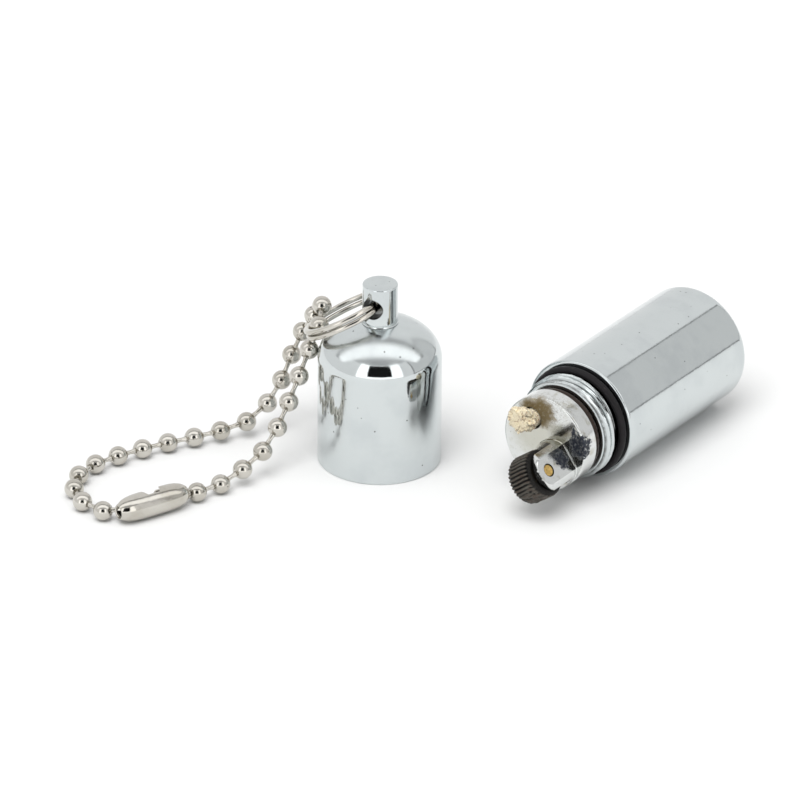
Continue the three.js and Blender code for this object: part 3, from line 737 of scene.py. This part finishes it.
def inner_parts():
    """Flint, its spring and its screw, seen when the insert is drawn out"""
    made = turned(filleted([
        (0, FLINT_LOW_Z, 0), (FLINT_R, FLINT_LOW_Z, 0.12), (FLINT_R, FLINT_TOP_Z, 0.12), (0, FLINT_TOP_Z, 0),
    ]), 40)
    made.transform(POST)
    piece("flint_stick", made, INSERT, "flint", "flint", ["flint"])

    steps, sides = SPRING_TURNS * 28, 8
    rows = []
    for i in range(steps + 1):
        angle = 2 * math.pi * SPRING_TURNS * i / steps
        out = Vector((math.cos(angle), math.sin(angle), 0))
        core = out * SPRING_R + Vector((0, 0, SPRING_LOW_Z + (SPRING_TOP_Z - SPRING_LOW_Z) * i / steps))
        rows.append([
            core + out * SPRING_WIRE_R * math.cos(t) + Vector((0, 0, SPRING_WIRE_R * math.sin(t)))
            for t in (2 * math.pi * k / sides for k in range(sides))
        ])
    rows.insert(0, [rows[0][0].lerp(rows[0][sides // 2], 0.5)])
    rows.append([rows[-1][0].lerp(rows[-1][sides // 2], 0.5)])
    made = surface(rows)
    made.transform(POST)
    coil = piece("spring_coil", made, INSERT, "spring", "spring", ["flint_spring"])
    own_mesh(coil)

    head = TUBE_END_Z - 0.1
    made = turned(filleted([
        (0, head - SCREW_HEAD, 0), (SCREW_HEAD_R, head - SCREW_HEAD, 0.2), (SCREW_HEAD_R, head, 0.1),
        (SCREW_R, head, 0.05), (SCREW_R, head + SCREW_SHANK, 0.15), (0, head + SCREW_SHANK, 0),
    ]), 64)
    slot = box_tool((-0.3, -3, head - SCREW_HEAD - 0.2), (0.3, 3, head - 0.7))
    made = cut_from(made, [("DIFFERENCE", slot)], 0.04)
    made.transform(POST)
    piece("tube_screw", made, INSERT, "screw", "brass", ["flint_screw"], 32)


# ---- Cap ----
def dome_z(r):
    return CAP_EDGE_Z + CAP_DOME * math.sqrt(1 - (r / BODY_R) ** 2)


def cap_swell(angle, r, z):
    if not (CAP_THREADED[0] < z < CAP_THREADED[1] and abs(r - CAP_INNER_R) < 0.02):
        return 0.0
    return -CAP_THREAD_HEIGHT * thread(angle, z, CAP_THREAD_Z)


def cap_body():
    mouth = filleted([(CAP_INNER_R, 0.6, 0), (CAP_INNER_R, 0, 0.25), (BODY_R, 0, 0.15), (BODY_R, 2, 0)])
    side = [(BODY_R, 6.0), (BODY_R, 11.0), (BODY_R, 13.0)]
    dome_steps, thread_steps = 56, 60
    dome = []
    for i in range(dome_steps + 1):
        turn = math.acos(SEAT_R / BODY_R) * i / dome_steps
        dome.append((BODY_R * math.cos(turn), CAP_EDGE_Z + CAP_DOME * math.sin(turn)))
    seat_z, bore_low_z = dome_z(SEAT_R), 17.0
    seat = [(SEAT_R - 0.06, seat_z), (CAP_BORE_R, seat_z), (CAP_BORE_R, bore_low_z)]
    inner = [(r, dome_z(r * BODY_R / CAP_INNER_R) - CAP_CROWN) for r in (1.6, 2.6, 3.6, 4.4, 5.1, 5.7, 6.15, 6.5)]
    wall = [(CAP_INNER_R, z) for z in (12.3, 8.0, 4.6)]
    low, high = CAP_THREADED
    threads = [(CAP_INNER_R, high - (high - low) * i / thread_steps) for i in range(thread_steps + 1)]
    profile = mouth[1:] + side + dome + seat + inner + wall + threads
    piece("cap_body", turned(profile, 160, True, cap_swell), CAP, "cap", "cap_chrome", ["cap_shell"], 34)


def stud():
    foot = dome_z(SEAT_R)
    made = turned(filleted([
        (0, TENON_LOW_Z, 0), (TENON_R, TENON_LOW_Z, 0.2), (TENON_R, foot + 0.03, 0), (STUD_R + 0.1, foot + 0.03, 0.06),
        (STUD_R, foot + 0.18, 0.05), (STUD_R, STUD_TOP_Z, 0.2), (0, STUD_TOP_Z, 0),
    ]), 128)
    hole = rod_tool(STUD_HOLE_R, -4, 4, 72)
    hole.transform(
        Matrix.Translation((0, 0, STUD_HOLE_Z)) @ Matrix.Rotation(RING_TURN, 4, "Z")
        @ Matrix.Rotation(math.pi / 2, 4, "X")
    )
    made = cut_from(made, [("DIFFERENCE", hole)], 0.05)
    piece("stud", made, CAP, "cap", "cap_chrome", ["ring_stud"], 34)


def key_ring():
    """Two turns of flattened wire, one on the other, with a short step between them"""
    radius, offset, width, thick, gap, squareness = 5.3, 5.1, 0.8, 0.62, 0.12, 0.62
    steps, sides = 300, 20
    rows = []
    for i in range(steps + 1):
        turns = 0.02 + 1.96 * i / steps
        angle = 2 * math.pi * turns
        out = Vector((math.cos(angle), math.sin(angle), 0))
        upper = smoothstep(turns, 0.9, 1.1)
        z = (thick + gap) * (upper - 0.5)
        ends = smoothstep(min(i, steps - i), -1, 3)
        row = []
        for k in range(sides):
            t = 2 * math.pi * k / sides
            across = math.copysign(abs(math.cos(t)) ** squareness, math.cos(t)) * width / 2
            rise = math.copysign(abs(math.sin(t)) ** squareness, math.sin(t)) * thick / 2
            row.append(out * (radius + across * ends) + Vector((-offset, 0, z + rise * ends)))
        rows.append(row)
    for end in (0, -1):
        centre = sum(rows[end], Vector()) / len(rows[end])
        rows.insert(0 if end == 0 else len(rows), [centre])
    piece("key_ring", surface(rows), RING, "ring", "nickel", ["split_ring"], 60)


# ---- Ball chain ----
BEAD_COUNT, BEAD_R, PIN_R, PITCH = 28, 1.2, 0.3, 3.42
FRONT_END, BACK_START = 18, 19
CLASP_TURN, CLASP_END, CLASP_WALL = math.radians(-159), 1.85, 0.24
BODY_OF = {node: body for body, nodes in frame["record"]["behaviour"]["bodies"].items() for node in nodes}


def bead_name(i):
    return f"chain_bead_{i:02d}"


def bead_centre(i):
    """Centre of the ball of a bead's solid, in millimetres, leaving out its pin"""
    points = np.array([v.co for v in frame["nodes"][bead_name(i)].data.vertices]) / MM
    kept = points
    for _ in range(6):
        rows = np.c_[2 * kept, np.ones(len(kept))]
        centre = np.linalg.lstsq(rows, (kept ** 2).sum(1), rcond=None)[0][:3]
        miss = abs(np.linalg.norm(points - centre, axis=1) - BEAD_R)
        kept = points[miss <= max(0.02, np.median(miss) * 1.5)]
    return Vector(centre)


# Beads 1 to 18 run from the ring to the clasp's near end, and 19 to 28 from the ring to its far end
CENTRES = {i: bead_centre(i) for i in range(1, BEAD_COUNT + 1)}
TOWARDS_RING = {i: (1 if i == BACK_START else i - 1) for i in range(2, BEAD_COUNT + 1)}
TOWARDS_CLASP = {i: i + 1 for i in range(1, BEAD_COUNT) if i != FRONT_END}


def basis(axis):
    side = axis.orthogonal().normalized()
    return side, axis.cross(side)


def chain_beads():
    """Hollow balls with a dimple round each pin. Each pin belongs to the bead that is further from the ring."""
    steps, sides, dimple_depth, lip_height = 30, 36, 0.24, 0.02
    near_end, far_end = 0.7, PITCH - 0.86
    pin_profile = filleted([
        (0, near_end, 0), (PIN_R + 0.04, near_end, 0), (PIN_R + 0.02, 1.15, 0.1), (PIN_R - 0.05, PITCH / 2, 0.6),
        (PIN_R + 0.02, PITCH - 1.15, 0.1), (PIN_R + 0.04, far_end, 0), (0, far_end, 0),
    ], 3)
    for i, centre in CENTRES.items():
        joined = [links[i] for links in (TOWARDS_RING, TOWARDS_CLASP) if i in links]
        if i == 1:
            joined.append(BACK_START)
        ways = [(CENTRES[j] - centre).normalized() for j in joined]
        axis = ways[0]
        side, other = basis(axis)
        rows = []
        for step in range(steps + 1):
            polar = math.pi * step / steps
            row = []
            for k in range(1 if step in (0, steps) else sides):
                angle = 2 * math.pi * k / sides
                out = side * math.cos(angle) + other * math.sin(angle)
                ray = axis * math.cos(polar) + out * math.sin(polar)
                near = max(way.dot(ray) for way in ways)
                dimple = dimple_depth * smoothstep(near, 0.912, 0.955)
                lip = lip_height * smoothstep(near, 0.86, 0.90) * (1 - smoothstep(near, 0.90, 0.93))
                row.append(centre + ray * (BEAD_R * 0.985 + lip - dimple))
            rows.append(row)
        made = surface(rows)
        if i in TOWARDS_RING:
            pin = turned(pin_profile, 20)
            turn = Matrix((side, other, axis)).transposed().to_4x4()
            shape = mesh_of(pin, Matrix.Translation(centre) @ turn)
            made.from_mesh(shape)
            bpy.data.meshes.remove(shape)
        node = bead_name(i)
        piece(f"bead_{i:02d}", made, SCALE, BODY_OF[node], "nickel", [node], 55)


def clasp():
    """Channel folded from sheet, open along its back, its walls cut down in the middle to let the end beads in"""
    first, last = CENTRES[FRONT_END], CENTRES[BEAD_COUNT]
    axis = (last - first).normalized()
    tip = (last - first).length / 2 + CLASP_END
    turn = Vector((0, 0, 1)).rotation_difference(axis)
    mouth = turn @ Vector((math.cos(CLASP_TURN), math.sin(CLASP_TURN), 0))
    side = axis.cross(mouth)
    mouth_r, swell, taper, notch_half, steps, around = 0.8, 0.86, 0.85, 1.35, 96, 44
    rows = []
    for i in range(steps + 1):
        t = -tip + 2 * tip * i / steps
        reach = mouth_r + swell * (1 - math.exp((abs(t) - tip) / taper))
        notch = smoothstep(abs(t), notch_half, 0.75) if abs(t) < notch_half else 0.0
        opening = math.radians(22 + 44 * notch)
        row = []
        for k in range(around + 1):
            angle = (math.pi - opening) * (2 * k / around - 1)
            x, y = math.sin(angle), -math.cos(angle)
            wide = reach * (1.0 if y < 0 else 1 - 0.10 * y * y)
            row.append((first + last) / 2 + axis * t + side * x * wide + mouth * y * reach)
        rows.append(row)
    made = surface(rows, wrap=False)
    shown = piece("clasp", made, SCALE, BODY_OF["chain_clasp"], "nickel", ["chain_clasp"], 50)
    sheet = shown.modifiers.new("sheet", "SOLIDIFY")
    sheet.thickness, sheet.offset = CLASP_WALL * MM, -1
    edges = shown.modifiers.new("edges", "BEVEL")
    edges.width, edges.segments, edges.angle_limit = 0.05 * MM, 2, math.radians(50)


# ---- Studio ----
def studio():
    """A pale floor, a room of plain panels that the chrome mirrors, and one soft lamp"""
    bpy.ops.mesh.primitive_plane_add(size=6)
    floor = bpy.context.object
    floor.name = "studio_floor"
    material, nodes, feed = new_material("studio_floor")
    paper = nodes.noise(nodes.object_mm(), 0.004, 2)
    feed(
        Base_Color=nodes.mix(paper, (0.675, 0.677, 0.675, 1), (0.695, 0.697, 0.695, 1)),
        Roughness=0.9,
        Specular_IOR_Level=0.1,
    )
    floor.data.materials.append(material)

    world = bpy.data.worlds.new("studio")
    SCENE.world = world
    world.use_nodes = True
    tree = world.node_tree
    tree.nodes.clear()
    nodes = Nodes(tree)
    ray = nodes.add("ShaderNodeTexCoord").outputs["Generated"]
    front = (math.sin(CAMERA_AZIMUTH), -math.cos(CAMERA_AZIMUTH), 0)
    right = (math.cos(CAMERA_AZIMUTH), math.sin(CAMERA_AZIMUTH), 0)

    def along(direction):
        return nodes.vector("DOT_PRODUCT", ray, direction)["Value"]

    height = nodes.math("ARCSINE", along((0, 0, 1)))
    around = nodes.math("ARCTAN2", along(right), along(front))

    def window(value, low, high, soft):
        return nodes.math(
            "MULTIPLY", nodes.ramp(value, low - soft, low + soft), nodes.ramp(value, high - soft, high + soft, 1.0, 0.0)
        )

    def blend(level, brightness, mask):
        return nodes.math("MULTIPLY_ADD", nodes.math("SUBTRACT", brightness, level), mask, level)

    def wall(level, brightness, azimuths, heights, soft):
        """A panel standing round the object, its edges given in degrees"""
        a, b, c, d, s = (math.radians(v) for v in (*azimuths, *heights, soft))
        return blend(level, brightness, nodes.math("MULTIPLY", window(around, a, b, s), window(height, c, d, s)))

    def ceiling(level, brightness, sideways, forwards, soft):
        """A panel overhead, its edges given as tangents of the angle from straight up"""
        rise = nodes.math("MAXIMUM", along((0, 0, 1)), 0.02)
        across = window(nodes.math("DIVIDE", along(right), rise), *sideways, soft * 4)
        ahead = window(nodes.math("DIVIDE", along(front), rise), *forwards, soft)
        return blend(level, brightness, nodes.math("MULTIPLY", across, ahead))

    # In order: a window with a dark frame to the right, a grey upper wall, white strips beside a black panel behind the
    # camera, and a large lamp overhead with a grey edge behind it
    level = nodes.ramp(height, math.radians(20), math.radians(75), 0.90, 0.96)
    level = wall(level, 0.36, (63.6, 136.4), (-4, 44.4), 0.3)
    level = wall(level, 0.73, (66.2, 134), (1.6, 42.2), 0.3)
    level = wall(level, 0.52, (-80, 80), (44, 88), 2)
    level = wall(level, 1.8, (-43, 43), (1, 46), 1.5)
    level = wall(level, 0.012, (-22.5, 22.5), (8, 45), 1.0)
    level = ceiling(level, 0.35, (-2.2, 2.2), (-0.44, 0.0), 0.04)
    level = ceiling(level, 1.5, (-2.0, 2.0), (-0.20, 0.40), 0.10)
    # The backdrop itself is white
    camera_ray = nodes.add("ShaderNodeLightPath").outputs["Is Camera Ray"]
    seen = nodes.mix(camera_ray, level, (1.0, 1.0, 1.0, 1))
    background = nodes.add("ShaderNodeBackground", {"Color": seen, "Strength": 1.0})
    output = nodes.add("ShaderNodeOutputWorld")
    tree.links.new(background.outputs[0], output.inputs[0])
    SCENE.view_settings.view_transform = "Standard"
    SCENE.view_settings.exposure = 0.0

    lamp = bpy.data.lights.new("overhead", "AREA")
    lamp.shape, lamp.size, lamp.energy = "DISK", 1.7, 38
    light = bpy.data.objects.new("overhead", lamp)
    light.location = (0.27, -0.94, 1.95)
    light.rotation_mode = "QUATERNION"
    light.rotation_quaternion = light.location.to_track_quat("Z", "Y")
    light.visible_camera = False
    light.visible_glossy = False
    SCENE.collection.objects.link(light)


tank_shell()
seals()
insert_body()
wheel()
rivet()
wick_tuft()
inner_parts()
cap_body()
stud()
key_ring()
chain_beads()
clasp()
frame["nodes"]["fuel_wadding"].data.materials.clear()
frame["nodes"]["fuel_wadding"].data.materials.append(LOOKS["wadding"])
studio()
